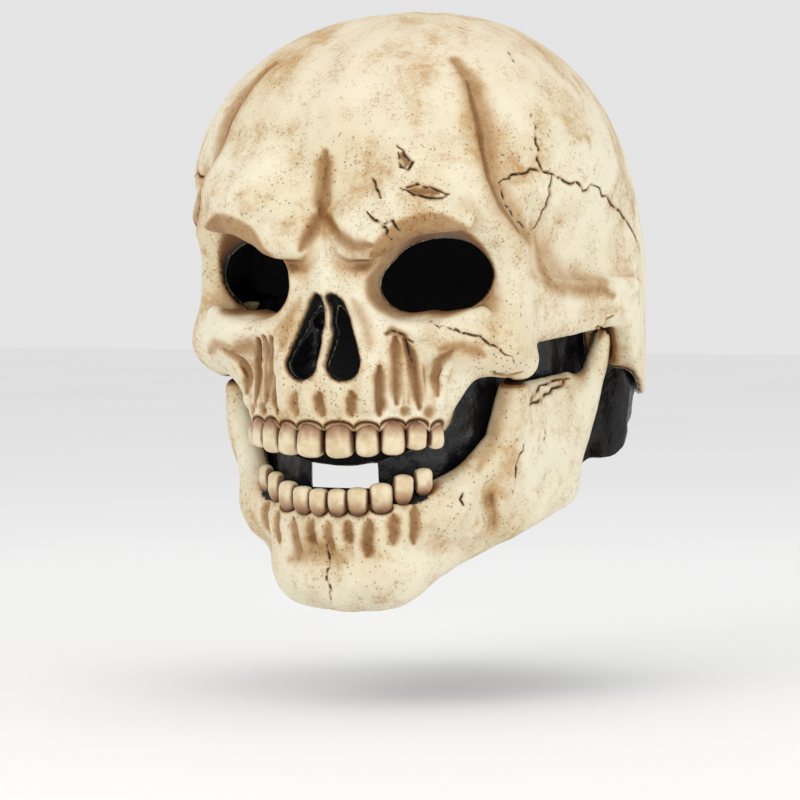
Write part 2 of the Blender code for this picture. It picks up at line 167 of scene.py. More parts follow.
# finer forms than the part's: the brows, the temple's ledge, the socket's rim and the face's hollows
SKULL_RELIEF = [
    Form("temporal line", CUT, 5, [(47, -83, 96), (58, -80, 66), (68, -68, 46)], (2, 5, 3), ROUND),
    Form("brow bulge", ADD, 9, [(14, -99, 27), (30, -99, 33), (46, -93, 35)], (6, 6, 5), ROUND),
    Form("socket brow lip", ADD, 7, [(20, -100, 18), (38, -98, 26), (54, -88, 27)], (4, 4, 3), ROUND),
    Form("temple ledge", ADD, 5, [(66, -56, 0), (79, -18, 1), (88, 14, 2)], (4, 3.5, 3), ROUND),
    Form("cheek pit", CUT, 3, [(27, -99, -24), (30, -97, -34)], (3.2, 2.2), ROUND),
    Form("brow end over the nose", ADD, 5, [(11, -100, 17), (22, -101, 19)], (4, 4), ROUND),
    Form("socket lower rim", ADD, 4, [(26, -93, -15), (44, -89, -15), (57, -77, -9)], (3, 3, 3), ROUND),
]
JAW_RELIEF = [
    Form("chin boss", ADD, 6, [(7, -88, -112), (14, -86, -114)], (4, 3), ROUND),
    Form("chin hollow", CUT, 6, [(0, -100, -101), (16, -95, -101)], (4, 3), ROUND),
    Form("jaw fill", ADD, 6, [(40, -66, -84), (43, -58, -91)], (8, 8), ROUND),
]
ROOT_LENGTH = {"upper": 22, "lower": -18}  # upwards from the gum line
# the grooves between the roots, from the middle of the row to its end, in mm
GROOVE_LENGTHS = {"upper": (8, 9, 17, 1, 1), "lower": (12, 9, 14, 12, 13)}
GROOVE_DEPTH = {"upper": 1.5, "lower": 0.8}
ROOTS_PROUD = {"upper": (2.2, 2.0, 0.5), "lower": (1.2, 1.0, 0.2)}  # at its gum end, middle and tip
GROOVE_START = 2.5  # beyond the gum line
GUM_START, GUM_STEPS = 14, 24  # mm before the teeth, and steps on to the bone
ARCH_BACK = -60  # how far back the bone behind the teeth is painted black
BLACK_HEIGHTS = {"upper": (-67, -54), "lower": (-83, -66)}  # of the bone behind each row
ARCH_SIDE, TEETH_COVER = 5, 2.0
# the bone round the eye holes that is painted black, as painted shade deep in the sockets: near a socket, and
# within these planes
EYE_REACH, EYE_SIDE, EYE_FRONT, EYE_BOTTOM = 12, 58, -64, -18
# where a socket's wall, from the front to the back, turns brown, turns black and ends: brown paint that
# deepens into painted shade farther in
SOCKET_BROWNS, SOCKET_DARKENS, SOCKET_BACK = (-88, -74), (-74, -66), -50


def limb_distance(points, form):
    """Distance from each point to a limb, exact to first order near its surface."""
    flat = np.array(form.flat, np.float32)
    stretched = points / flat
    path = [np.array(place, np.float32) / flat for place in form.path]
    parts = zip(path[:-1], path[1:], form.radii[:-1], form.radii[1:])
    return np.min([limb_part(stretched, *part, flat) for part in parts], axis=0)


def limb_part(stretched, start, end, start_radius, end_radius, flat):
    along = end - start
    share = np.clip((stretched - start) @ along / max(float(along @ along), 1e-9), 0, 1)
    away = stretched - start - share[:, None] * along
    length = np.linalg.norm(away, axis=1) + 1e-6
    slope = np.linalg.norm(away / flat, axis=1) / length + 1e-6
    return (length - start_radius - share * (end_radius - start_radius)) / slope


def soft_min(first, second, blend):
    if blend <= 0:
        return np.minimum(first, second)
    share = np.clip(0.5 + 0.5 * (second - first) / blend, 0, 1)
    return second + (first - second) * share - blend * share * (1 - share)


def soft_max(first, second, blend):
    return -soft_min(-first, -second, blend)


def left_half(points):
    return np.abs(points[:, :1]) * (1, 0, 0) + points * (0, 1, 1)


def add_forms(total, points, forms):
    """Adds or cuts each form, for the points near it: farther off it changes nothing that is meshed."""
    total = total.copy()
    for form in forms:
        path = np.array(form.path, np.float32)
        reach = max(form.radii) * np.array(form.flat, np.float32) + FORM_REACH
        near = ((points > path.min(0) - reach) & (points < path.max(0) + reach)).all(1)
        distance = limb_distance(points[near], form)
        if form.joins == ADD:
            total[near] = soft_min(total[near], distance, form.blend)
        else:
            total[near] = soft_max(total[near], -distance, form.blend)
    return total


def joined(points, forms):
    return add_forms(np.full(len(points), FAR), points, forms)


def evaluated(field, points):
    """The field at the points, worked out in small shares side by side."""
    shares = np.array_split(points.astype(np.float32), len(points) // 12000 + 1)
    return np.concatenate(list(WORKERS.map(field, shares)))


def profile_distance(points, axes, corners):
    """Distance to a closed outline that is extruded without end along the third axis."""
    flat = points[:, axes]
    corners = np.array(corners, np.float32)
    nearest = np.full(len(flat), FAR, np.float32)
    inside = np.zeros(len(flat), bool)
    for start, end in zip(corners, np.roll(corners, -1, axis=0)):
        edge = end - start
        away = flat - start
        share = np.clip(away @ edge / (edge @ edge), 0, 1)
        nearest = np.minimum(nearest, np.linalg.norm(away - share[:, None] * edge, axis=1))
        crosses = (start[1] > flat[:, 1]) != (end[1] > flat[:, 1])
        turn = away[:, 0] * edge[1] - away[:, 1] * edge[0]
        inside ^= crosses & ((turn < 0) == (edge[1] > 0))
    return np.where(inside, -nearest, nearest)


def plain_skull(points):
    """The skull without its finer forms and its nostrils."""
    points = left_half(points)
    cranium = joined(points, BRAINCASE)
    cranium = soft_max(cranium, -profile_distance(points, SIDE, NECK_CUT), 2)
    return add_forms(cranium, points, FACE)


def nostrils(points):
    return joined(left_half(points), NOSTRIL)


def sockets(points):
    return joined(left_half(points), SOCKETS)


def skull_outside(points):
    half = left_half(points)
    skull = add_forms(plain_skull(points), half, SKULL_RELIEF + ROOTS["upper"])
    return soft_max(skull, -nostrils(points), 1.2)


def plain_jaw(points):
    points = left_half(points)
    jaw = joined(points, JAW)
    return soft_max(jaw, JAW_CLEARANCE - plain_skull(points), 1)


def jaw_outside(points):
    return add_forms(plain_jaw(points), left_half(points), JAW_RELIEF + ROOTS["lower"])


def head_space(points):
    """The space for the wearer's head and neck."""
    points = left_half(points)
    face = joined(points, FACE_SPACE)
    face = soft_max(face, points[:, 1] - FACE_SPACE_BACK, FACE_SPACE_BLEND)
    cranium = joined(points, BRAINCASE[:1]) + SKIN
    cranium = soft_max(cranium, CRANIUM_SPACE_FRONT - points[:, 1], CRANIUM_SPACE_BLEND)
    return soft_min(face, cranium, HEAD_BLEND)


def skull_cavity(points):
    return np.minimum(plain_skull(points) + SKIN, head_space(points))


def jaw_cavity(points):
    return np.minimum(plain_jaw(points) + SKIN, head_space(points))


def under_skin_outside(points):
    return head_space(points) + GAP


def under_skin_inside(points):
    return head_space(points) + GAP + WEB


def nose_lining_outside(points):
    return np.maximum(nostrils(points) - LINING_OVERLAP - LINING, plain_skull(points) + SKIN + GAP)


def nose_lining_inside(points):
    return nostrils(points) - LINING_OVERLAP


def with_teeth(points):
    """Both bones and the teeth, for finding the recesses."""
    half = left_half(points)
    total = np.minimum(skull_outside(points), jaw_outside(points))
    for tooth in UPPER_TEETH + LOWER_TEETH:
        radius = 0.46 * tooth.width
        path = [(tooth.x, tooth.y, tooth.low + radius), (tooth.x, tooth.y, tooth.high - radius)]
        limb = Form("tooth", ADD, 0, path, (radius, radius), (1, tooth.thick / tooth.width, 1))
        total = np.minimum(total, limb_distance(half, limb))
    return total


# the gums
def outward_of(tooth):
    turn = np.radians(tooth.turn)
    return np.array((np.sin(turn), -np.cos(turn), 0))


def gum_height(tooth, row):
    return tooth.high if row == "upper" else tooth.low


def moved_in(field, points, outward):
    """The points moved from well outside the mask, against outward, on to the field's surface."""
    points = points + outward * GUM_START
    for _ in range(GUM_STEPS):
        points = points - outward * np.clip(field(points), -2, 6)[:, None] * 0.8
    return points


def root_forms(teeth, row, field):
    """The ridge that each tooth's root makes in the bone."""
    forms = []
    for tooth in teeth:
        outward = outward_of(tooth)
        radii = tuple(tooth.width * share for share in (0.40, 0.36, 0.20))
        heights = gum_height(tooth, row) + np.array((0.30, 0.6, 1.0)) * ROOT_LENGTH[row]
        places = np.array([(tooth.x, tooth.y, height) for height in heights])
        proud = np.array(ROOTS_PROUD[row])
        path = moved_in(field, places, outward) - outward * (np.array(radii) - proud)[:, None]
        forms.append(Form("root", ADD, 1.8, [tuple(place) for place in path], radii, ROUND))
    return forms


ROOTS = {
    "upper": root_forms(UPPER_TEETH, "upper", plain_skull),
    "lower": root_forms(LOWER_TEETH, "lower", plain_jaw),
}


# meshing
def band_values(field, low, high, cell, coarse=4):
    """The field on a grid: exact near its surface, and rough away from it."""
    counts = np.ceil((np.array(high) - low) / (cell * coarse)).astype(int)
    steps = [low[axis] + cell * coarse * np.arange(counts[axis] + 1) for axis in range(3)]
    rough = evaluated(field, np.stack(np.meshgrid(*steps, indexing="ij"), -1).reshape(-1, 3))
    rough = rough.reshape(counts + 1)
    near = np.abs(rough) < cell * coarse * 1.9
    block = np.zeros(counts, bool)
    for corner in itertools.product((0, 1), repeat=3):
        block |= near[tuple(slice(start, start + count) for start, count in zip(corner, counts))]
    fine = np.zeros(counts * coarse + 1, bool)
    blown_up = block.repeat(coarse, 0).repeat(coarse, 1).repeat(coarse, 2)
    for corner in itertools.product((0, 1), repeat=3):
        part = tuple(slice(start, start + size) for start, size in zip(corner, blown_up.shape))
        fine[part] |= blown_up
    values = rough[:-1, :-1, :-1].repeat(coarse, 0).repeat(coarse, 1).repeat(coarse, 2)
    values = np.pad(values, ((0, 1),) * 3, mode="edge").astype(np.float32)
    values[fine] = evaluated(field, low + np.argwhere(fine) * cell)
    for axis in range(3):
        for end in (0, -1):
            values.swapaxes(0, axis)[end] = np.maximum(values.swapaxes(0, axis)[end], cell / 2)
    return values


def surface_quads(values, low, cell):
    """Surface nets: one point in each cell that the surface crosses, one quad round each crossed edge."""
    inside = values < 0
    corners = np.array(list(itertools.product((0, 1), repeat=3)))
    shape = np.array(values.shape) - 1
    held = np.zeros(shape, np.uint8)
    for corner in corners:
        held += inside[tuple(slice(start, start + count) for start, count in zip(corner, shape))]
    active = np.argwhere((held > 0) & (held < 8))
    number = np.full(shape, -1, np.int64)
    number[tuple(active.T)] = np.arange(len(active))
    at = np.stack([values[tuple((active + corner).T)] for corner in corners], 1)
    total = np.zeros((len(active), 3))
    count = np.zeros(len(active))
    for first, second in itertools.combinations(range(8), 2):
        if np.abs(corners[first] - corners[second]).sum() != 1:
            continue
        crossed = (at[:, first] < 0) != (at[:, second] < 0)
        share = np.where(crossed, at[:, first] / np.where(crossed, at[:, first] - at[:, second], 1), 0)
        place = corners[first] + share[:, None] * (corners[second] - corners[first])
        total += np.where(crossed[:, None], place, 0)
        count += crossed
    points = low + (active + total / count[:, None]) * cell
    quads = []
    for axis in range(3):
        before = inside.take(range(shape[axis]), axis)
        after = inside.take(range(1, shape[axis] + 1), axis)
        crossed = np.argwhere(before != after)
        first, second = (axis + 1) % 3, (axis + 2) % 3
        step_first, step_second = np.eye(3, dtype=int)[[first, second]]
        ring = [crossed - step_first - step_second, crossed - step_second, crossed, crossed - step_first]
        quad = np.stack([number[tuple(place.T)] for place in ring], 1)
        turned = ~before[tuple(crossed.T)]
        quad[turned] = quad[turned][:, ::-1]
        quads.append(quad)
    return points, np.concatenate(quads)


def slope_of(field, points, step=0.25):
    moves = np.eye(3) * step
    steps = [evaluated(field, points + move) - evaluated(field, points - move) for move in moves]
    return np.stack(steps, 1).astype(float) / (2 * step)


def pulled_onto(field, points, cell, rounds=2):
    for _ in range(rounds):
        slope = slope_of(field, points)
        distance = evaluated(field, points)
        distance[np.abs(distance) > cell] = 0
        move = -distance[:, None] * slope / np.maximum((slope**2).sum(1), 0.3)[:, None]
        size = np.linalg.norm(move, axis=1, keepdims=True)
        points = points + move * np.minimum(1, 0.5 * cell / np.maximum(size, 1e-9))
    return points


def largest_piece(points, faces):
    """Drops every separate bubble but the largest."""
    label = np.arange(len(points))
    while True:
        lowest = label[faces].min(axis=1)
        spread = label.copy()
        np.minimum.at(spread, faces.reshape(-1), np.repeat(lowest, faces.shape[1]))
        spread = spread[spread]
        if (spread == label).all():
            break
        label = spread
    kept = label == np.bincount(label).argmax()
    renumber = np.cumsum(kept) - 1
    return points[kept], renumber[faces[kept[faces[:, 0]]]]


def surface(field, box, cell):
    low = np.array(box[0], float)
    points, quads = surface_quads(band_values(field, low, box[1], cell), low, cell)
    points, quads = largest_piece(points, quads)
    return pulled_onto(field, points, cell), quads


def split_near(points, triangles, wanted):
    """Splits at its middle each edge whose ends are both wanted, and the triangles on it with it."""
    edges = np.sort(np.stack([triangles, np.roll(triangles, -1, 1)], 2).reshape(-1, 2), 1)
    unique, index = np.unique(edges, axis=0, return_inverse=True)
    index = index.reshape(-1, 3)
    split = wanted[unique].all(1)
    middle = np.where(split, len(points) + np.cumsum(split) - 1, -1)
    points = np.concatenate([points, points[unique[split]].mean(1)])
    mids = middle[index]
    kinds = (mids >= 0) @ (1, 2, 4)
    made = [triangles[kinds == 0]]
    for turn in range(3):
        a, b, c = np.roll(triangles, -turn, 1).T
        ab, bc, ca = np.roll(mids, -turn, 1).T
        one = kinds == (1, 2, 4)[turn]
        made.append(np.stack([a, ab, c], 1)[one])
        made.append(np.stack([ab, b, c], 1)[one])
        two = kinds == (3, 6, 5)[turn]
        made.append(np.stack([ab, b, bc], 1)[two])
        made.append(np.stack([a, ab, bc], 1)[two])
        made.append(np.stack([a, bc, c], 1)[two])
    a, b, c = triangles[kinds == 7].T
    ab, bc, ca = mids[kinds == 7].T
    for ring in ((a, ab, ca), (ab, b, bc), (ca, bc, c), (ab, bc, ca)):
        made.append(np.stack(ring, 1))
    return points, np.concatenate(made)


# the camera and the photograph
def camera_axes():
    """The camera's right, up and back, in the head's frame."""
    turn, tilt = np.radians(AZIMUTH), np.radians(ELEVATION)
    back = np.array((np.sin(turn) * np.cos(tilt), -np.cos(turn) * np.cos(tilt), np.sin(tilt)))
    right = np.array((np.cos(turn), np.sin(turn), 0))
    return right, np.cross(back, right), back


def camera_place():
    right, up, back = camera_axes()
    across = (PUPILS_PX[0] - PICTURE_PX / 2) / PX_PER_MM
    above = (PICTURE_PX / 2 - PUPILS_PX[1]) / PX_PER_MM
    return back * DISTANCE - right * across - up * above


def seen_at(places_px):
    """The points of the mask's bones that the photograph shows at these pixels."""
    right, up, back = camera_axes()
    places_px = np.array(places_px, float)
    across = (places_px[:, :1] - PICTURE_PX / 2) / (PX_PER_MM * DISTANCE)
    above = (PICTURE_PX / 2 - places_px[:, 1:]) / (PX_PER_MM * DISTANCE)
    ways = across * right + above * up - back
    ways /= np.linalg.norm(ways, axis=1, keepdims=True)
    points = camera_place() + ways * (DISTANCE - SIGHT_START)
    for _ in range(SIGHT_STEPS):
        bones = np.minimum(skull_outside(points), jaw_outside(points))
        points = points + ways * np.clip(bones, -3, 30)[:, None] * 0.8
    return points


def make_camera():
    right, up, back = camera_axes()
    camera = bpy.data.objects.new("camera", bpy.data.cameras.new("camera"))
    bpy.context.scene.collection.objects.link(camera)
    place = (camera_place() - SEAT) * MM
    rows = np.vstack([np.column_stack([right, up, back, place]), (0, 0, 0, 1)])
    camera.matrix_world = Matrix(rows.tolist())
    camera.data.sensor_width = SENSOR
    camera.data.lens = PX_PER_MM * DISTANCE * SENSOR / PICTURE_PX
    camera.data.clip_end = 10
    bpy.context.scene.camera = camera


# strokes on the bone: grooves, cracks, brushed stains, and painted shade where a stroke is named shade
# width, depth, the dark line and the stain and shade in mm, the strength of the paint, whether the far side
# has it too, and the path in the photograph's pixels
Stroke = namedtuple("Stroke", "name width depth line stain paint both path")
STROKES = [Stroke(*row) for row in (
    ("temporal groove", 5.0, 1.3, 0, 8.0, 0.75, True,
     [(455, 60), (470, 80), (480, 115), (487, 150), (492, 178), (505, 205), (530, 240)]),
    ("temporal groove, core", 2.0, 0.3, 0, 2.6, 1.15, True,
     [(467, 78), (477, 115), (484, 150), (490, 178), (502, 205), (520, 232)]),
    ("temple shade", 3.0, 0.2, 0, 9.0, 0.6, True,
     [(530, 225), (541, 250), (556, 274), (584, 280), (606, 281)]),
    ("frown", 4.0, 1.5, 0, 5.0, 0.9, False, [(325, 152), (323, 185), (322, 212)]),
    ("frown, core", 1.6, 0.3, 0, 1.8, 1.1, False, [(325, 165), (323, 188), (321, 214)]),
    ("frown, far leg", 4.0, 1.0, 0, 4.0, 0.9, False, [(322, 212), (312, 232), (301, 250)]),
    ("frown, near leg", 4.0, 1.0, 0, 4.0, 0.9, False, [(322, 212), (338, 236), (352, 246), (372, 246)]),
    ("far cheek groove", 3.0, 1.3, 0, 3.4, 1.0, False, [(271, 338), (270, 372), (263, 406)]),
    ("far cheek hollow", 4.0, 0.5, 0, 5.0, 0.8, False, [(232, 352), (250, 345), (262, 360)]),
    ("nose side shade", 3.0, 0.2, 0, 4.0, 0.6, True, [(352, 300), (366, 325), (370, 350)]),
    ("chin shade", 4.0, 0.4, 0, 6.0, 0.65, False, [(290, 560), (318, 548), (345, 560)]),
    ("jaw shade", 4.0, 0.3, 0, 7.0, 0.5, False, [(470, 590), (510, 560), (550, 535), (580, 505)]),
    ("ramus shade", 4.0, 0.3, 0, 5.0, 0.6, False, [(510, 375), (500, 410), (490, 445), (478, 470)]),
    ("cheek groove, inner", 2.8, 1.6, 0, 3.6, 1.0, True, [(395, 338), (397, 360), (397, 403)]),
    ("cheek groove, outer", 2.4, 1.6, 0, 3.0, 1.2, True,
     [(404, 340), (412, 358), (414, 375), (420, 408)]),
    ("cheek groove, core", 1.0, 0.4, 0.4, 1.2, 1.0, True, [(405, 342), (411, 352), (412, 362)]),
    ("cheek groove, rear", 2.6, 1.2, 0, 3.0, 0.9, True,
     [(452, 352), (438, 362), (435, 378), (437, 395)]),
    ("cheek shade", 3.4, 0.6, 0, 4.0, 0.7, True, [(440, 350), (462, 347), (484, 356)]),
    ("temple edge", 1.5, 0.4, 0, 5.0, 0.75, True,
     [(536, 241), (541, 266), (549, 283), (569, 288), (587, 290), (606, 288), (614, 296)]),
    ("plate, left", 0.8, 0.6, 0.35, 1.6, 0.7, True, [(500, 182), (508, 205), (530, 235)]),
    ("plate, top", 0.9, 0.7, 0.45, 1.4, 0.7, True, [(500, 182), (518, 174), (537, 170), (552, 174)]),
    ("plate, right", 0.9, 0.7, 0.4, 1.4, 0.7, True, [(552, 174), (550, 195), (543, 212), (530, 235)]),
    ("crack 1", 0.7, 0.5, 0.4, 0.9, 0.7, False, [(457, 27), (465, 30), (472, 31)]),
    ("crack 2", 0.7, 0.5, 0.4, 0.9, 0.7, False, [(508, 52), (510, 57), (514, 62)]),
    ("suture, upper", 0.9, 0.7, 0.5, 1.2, 0.7, True,
     [(531, 115), (536, 126), (536, 140), (539, 149), (537, 158), (541, 168), (553, 174)]),
    ("suture, back", 0.9, 0.7, 0.5, 1.2, 0.7, True,
     [(553, 174), (560, 178), (568, 184), (576, 182), (584, 192), (590, 186), (596, 186)]),
    ("suture, down", 0.9, 0.7, 0.5, 1.2, 0.7, True,
     [(596, 186), (603, 194), (612, 205), (620, 213), (632, 228), (640, 250)]),
    ("cheekbone crack", 0.8, 0.6, 0.45, 1.0, 0.7, False,
     [(430, 321), (448, 329), (466, 333), (483, 338), (494, 346), (506, 353), (514, 362)]),
    ("chin crack", 0.8, 0.6, 0.4, 1.0, 0.7, False,
     [(327, 545), (331, 560), (327, 575), (330, 590), (331, 600)]),
    ("jaw crack 1", 0.9, 0.7, 0.5, 1.1, 0.7, False,
     [(524, 445), (521, 455), (517, 465), (516, 480), (513, 492)]),
    ("jaw crack 2", 0.9, 0.7, 0.5, 0.9, 0.7, False, [(545, 430), (546, 436), (544, 441)]),
    ("jaw crack 3", 0.9, 0.7, 0.5, 0.9, 0.7, False, [(463, 494), (461, 500), (464, 505)]),
    ("forehead chip", 1.1, 0.9, 0.6, 1.3, 0.7, False,
     [(397, 146), (403, 150), (408, 158), (415, 163), (409, 170), (401, 165), (398, 152)]),
    ("forehead lens, top", 1.0, 0.8, 0.6, 1.3, 0.7, False,
     [(400, 188), (415, 184), (432, 187), (450, 194)]),
    ("forehead lens, bottom", 1.0, 0.8, 0.6, 1.3, 0.7, False,
     [(402, 189), (418, 195), (434, 198), (448, 194)]),
    ("forehead lens, inside", 1.4, 0.6, 0, 2.4, 1.0, False, [(410, 190), (424, 191), (438, 193)]),
    ("forehead chip, inside", 1.2, 0.5, 0, 2.2, 1.1, False, [(402, 153), (407, 162), (405, 166)]),
    ("cheek chip", 1.6, 0.8, 0.5, 2.2, 1.1, False, [(386, 334), (392, 331), (402, 336), (412, 342)]),
    ("web edge chip", 1.2, 0.6, 0.4, 1.8, 1.0, False, [(494, 372), (508, 376), (522, 372)]),
    ("brow chip", 0.9, 0.8, 0.5, 1.2, 0.7, False, [(372, 178), (376, 188), (380, 198)]),
    ("brow cracks", 1.0, 0.8, 0.6, 1.5, 0.7, False,
     [(367, 212), (376, 220), (384, 224), (388, 232), (392, 240)]),
    ("brow cracks 2", 1.0, 0.8, 0.6, 1.5, 0.7, False, [(384, 224), (392, 222), (398, 230)]),
    ("ear crack", 1.0, 0.8, 0.5, 1.4, 0.7, True,
     [(590, 335), (596, 327), (603, 329), (607, 320), (613, 316)]),
    ("ramus chip, top", 1.0, 0.9, 0.5, 1.8, 0.7, False, [(540, 385), (556, 380), (570, 378)]),
    ("ramus chip, side", 1.0, 0.9, 0.5, 1.8, 0.7, False, [(540, 385), (535, 395), (530, 405)]),
    ("ramus chip, slope", 1.0, 0.9, 0.5, 1.8, 0.7, False, [(530, 405), (550, 392), (570, 378)]),
)]
GUM_LINE = Stroke("gum line", 0.9, 0.6, 0.3, 1.3, 1.2, False, None)
CRACK_WIDTH = 2.0  # strokes narrower than this are cracks, which wander and get a finer mesh
CRACK_WANDER = 0.5
STROKE_STEP = 2.0
STROKE_REACH = 16  # farther than this from a stroke, nothing changes
DEEPEST_GROOVE = 1.8  # so that no groove breaks through the wall
# in the eye sockets the brown of the edges deepens into painted shade
RIM_FADE, CUT_EDGE_FADE, NOSE_FADE = 1.8, 2.4, 1.3  # how far the brown edges of the holes spread


def stroke_points(stroke, rng):
    """The stroke as close points on the bone; a crack wanders a little between its ends."""
    corners = np.array(stroke.path, float)
    lengths = np.linalg.norm(np.diff(corners, axis=0), axis=1) / PX_PER_MM
    places = [corners[0]]
    for start, end, length in zip(corners[:-1], corners[1:], lengths):
        count = max(1, int(round(length / STROKE_STEP)))
        for step in range(1, count + 1):
            places.append(start + (end - start) * step / count)
    points = seen_at(places)
    if stroke.width < CRACK_WIDTH:
        points[1:-1] += rng.normal(0, CRACK_WANDER, (len(points) - 2, 3))
    return points


def stroke_distances(points, line):
    """Distance to a polyline, for the points near it. It grows towards the ends, so a stroke tapers."""
    nearest = np.full(len(points), FAR, np.float32)
    near = ((points > line.min(0) - STROKE_REACH) & (points < line.max(0) + STROKE_REACH)).all(1)
    close = points[near]
    best = np.full(len(close), FAR)
    count = len(line) - 1
    for number, (start, end) in enumerate(zip(line[:-1], line[1:])):
        along = end - start
        share = np.clip((close - start) @ along / max(float(along @ along), 1e-9), 0, 1)
        place = (number + share) / count
        thin = 0.45 + 0.55 * smooth_step(0, 0.2, np.minimum(place, 1 - place))
        best = np.minimum(best, np.linalg.norm(close - start - share[:, None] * along, axis=1) / thin)
    nearest[near] = best
    return nearest


def gum_strokes(teeth, row, field, rng):
    """Grooves between the roots, and a stained line round the gum end of each tooth."""
    lines = []
    way = np.sign(ROOT_LENGTH[row])
    arch = [(tooth, -1) for tooth in reversed(teeth)] + [(tooth, 1) for tooth in teeth]
    for number, ((first, first_side), (second, second_side)) in enumerate(zip(arch[:-1], arch[1:])):
        mirrors = np.array(((first_side, 1, 1), (second_side, 1, 1)))
        outward = (np.array((outward_of(first), outward_of(second))) * mirrors).mean(0)
        outward /= np.linalg.norm(outward)
        middle = (np.array(((first.x, first.y, 0), (second.x, second.y, 0))) * mirrors).mean(0)
        gum = (gum_height(first, row) + gum_height(second, row)) / 2
        length = GROOVE_LENGTHS[row][abs(number - len(teeth) + 1)] * rng.uniform(0.85, 1.15)
        heights = gum + way * (GROOVE_START + length * np.linspace(0, 1, 9))
        places = middle + np.array([(0, 0, height) for height in heights])
        places[:, 0] += 0.12 * np.cumsum(rng.normal(0, 1, len(places)))
        places[:, 0] += rng.normal(0, 0.3, len(places))
        stain, paint = rng.uniform(2.6, 3.8), rng.uniform(0.8, 1.1)
        groove = Stroke("root groove", 2.2, GROOVE_DEPTH[row], 0, stain, paint, False, None)
        lines.append((groove, moved_in(field, places, outward)))
    for tooth, side in arch:
        outward = outward_of(tooth) * (side, 1, 1)
        across = np.cross(outward, (0, 0, 1))
        angles = np.linspace(0, np.pi, 9)
        places = np.array((tooth.x * side, tooth.y, gum_height(tooth, row))) + (
            0.51 * tooth.width * np.cos(angles)[:, None] * across
            + (way * (2.7 * np.sin(angles) - 2.9))[:, None] * np.array((0, 0, 1)))
        lines.append((GUM_LINE, moved_in(field, places, outward)))
    return lines


def all_lines():
    rng = np.random.default_rng(SEED)
    lines = []
    for stroke in STROKES:
        line = stroke_points(stroke, rng)
        lines.append((stroke, line))
        if stroke.both:
            lines.append((stroke, line * (-1, 1, 1)))
    lines += gum_strokes(UPPER_TEETH, "upper", skull_outside, rng)
    lines += gum_strokes(LOWER_TEETH, "lower", jaw_outside, rng)
    return lines


def smooth_step(low, high, values):
    share = np.clip((values - low) / (high - low), 0, 1)
    return share * share * (3 - 2 * share)


def noise_at(points, size, offset=0.0):
    """Smooth noise from -1 to 1 with features of about size mm."""
    scaled = (points / size + offset).tolist()
    return np.array([noise.noise(place) for place in scaled])


def hollow_wash_and_shade(points, normals):
    """How deep in a hollow each point lies, for the brown wash and the painted shade there: 0 on open
    surfaces, towards 1 in a crease.
    """
    total = np.zeros(len(points))
    for reach, weight in ((2.0, 0.25), (5.0, 0.35), (11.0, 0.4)):
        open_room = evaluated(with_teeth, points + normals * reach) / reach
        total += weight * np.clip(1 - open_room, 0, 1.5)
    return total


def new_mesh(name, points, faces):
    """An object in the row frame, from points in the head's frame."""
    mesh = bpy.data.meshes.new(name)
    placed = ((points - SEAT) * MM).astype(np.float32)
    faces = np.asarray(faces, np.int32)
    mesh.vertices.add(len(placed))
    mesh.vertices.foreach_set("co", placed.ravel())
    mesh.loops.add(faces.size)
    mesh.loops.foreach_set("vertex_index", faces.ravel())
    mesh.polygons.add(len(faces))
    mesh.polygons.foreach_set("loop_start", np.arange(0, faces.size, faces.shape[1], dtype=np.int32))
    mesh.update(calc_edges=True)
    mesh.validate()
    mesh.polygons.foreach_set("use_smooth", np.full(len(mesh.polygons), True))
    obj = bpy.data.objects.new(name, mesh)
    bpy.context.scene.collection.objects.link(obj)
    return obj


def set_values(obj, name, values):
    attribute = obj.data.attributes.new(name, "FLOAT", "POINT")
    attribute.data.foreach_set("value", np.asarray(values, np.float32))


def triangles_of(quads):
    return np.concatenate([quads[:, [0, 1, 2]], quads[:, [0, 2, 3]]])


def edge_paint(hole, points, fade):
    """1 at the edge of a hole, falling to 0 a little away from it."""
    return np.exp(-(np.clip(evaluated(hole, points), 0, None) / fade) ** 2)


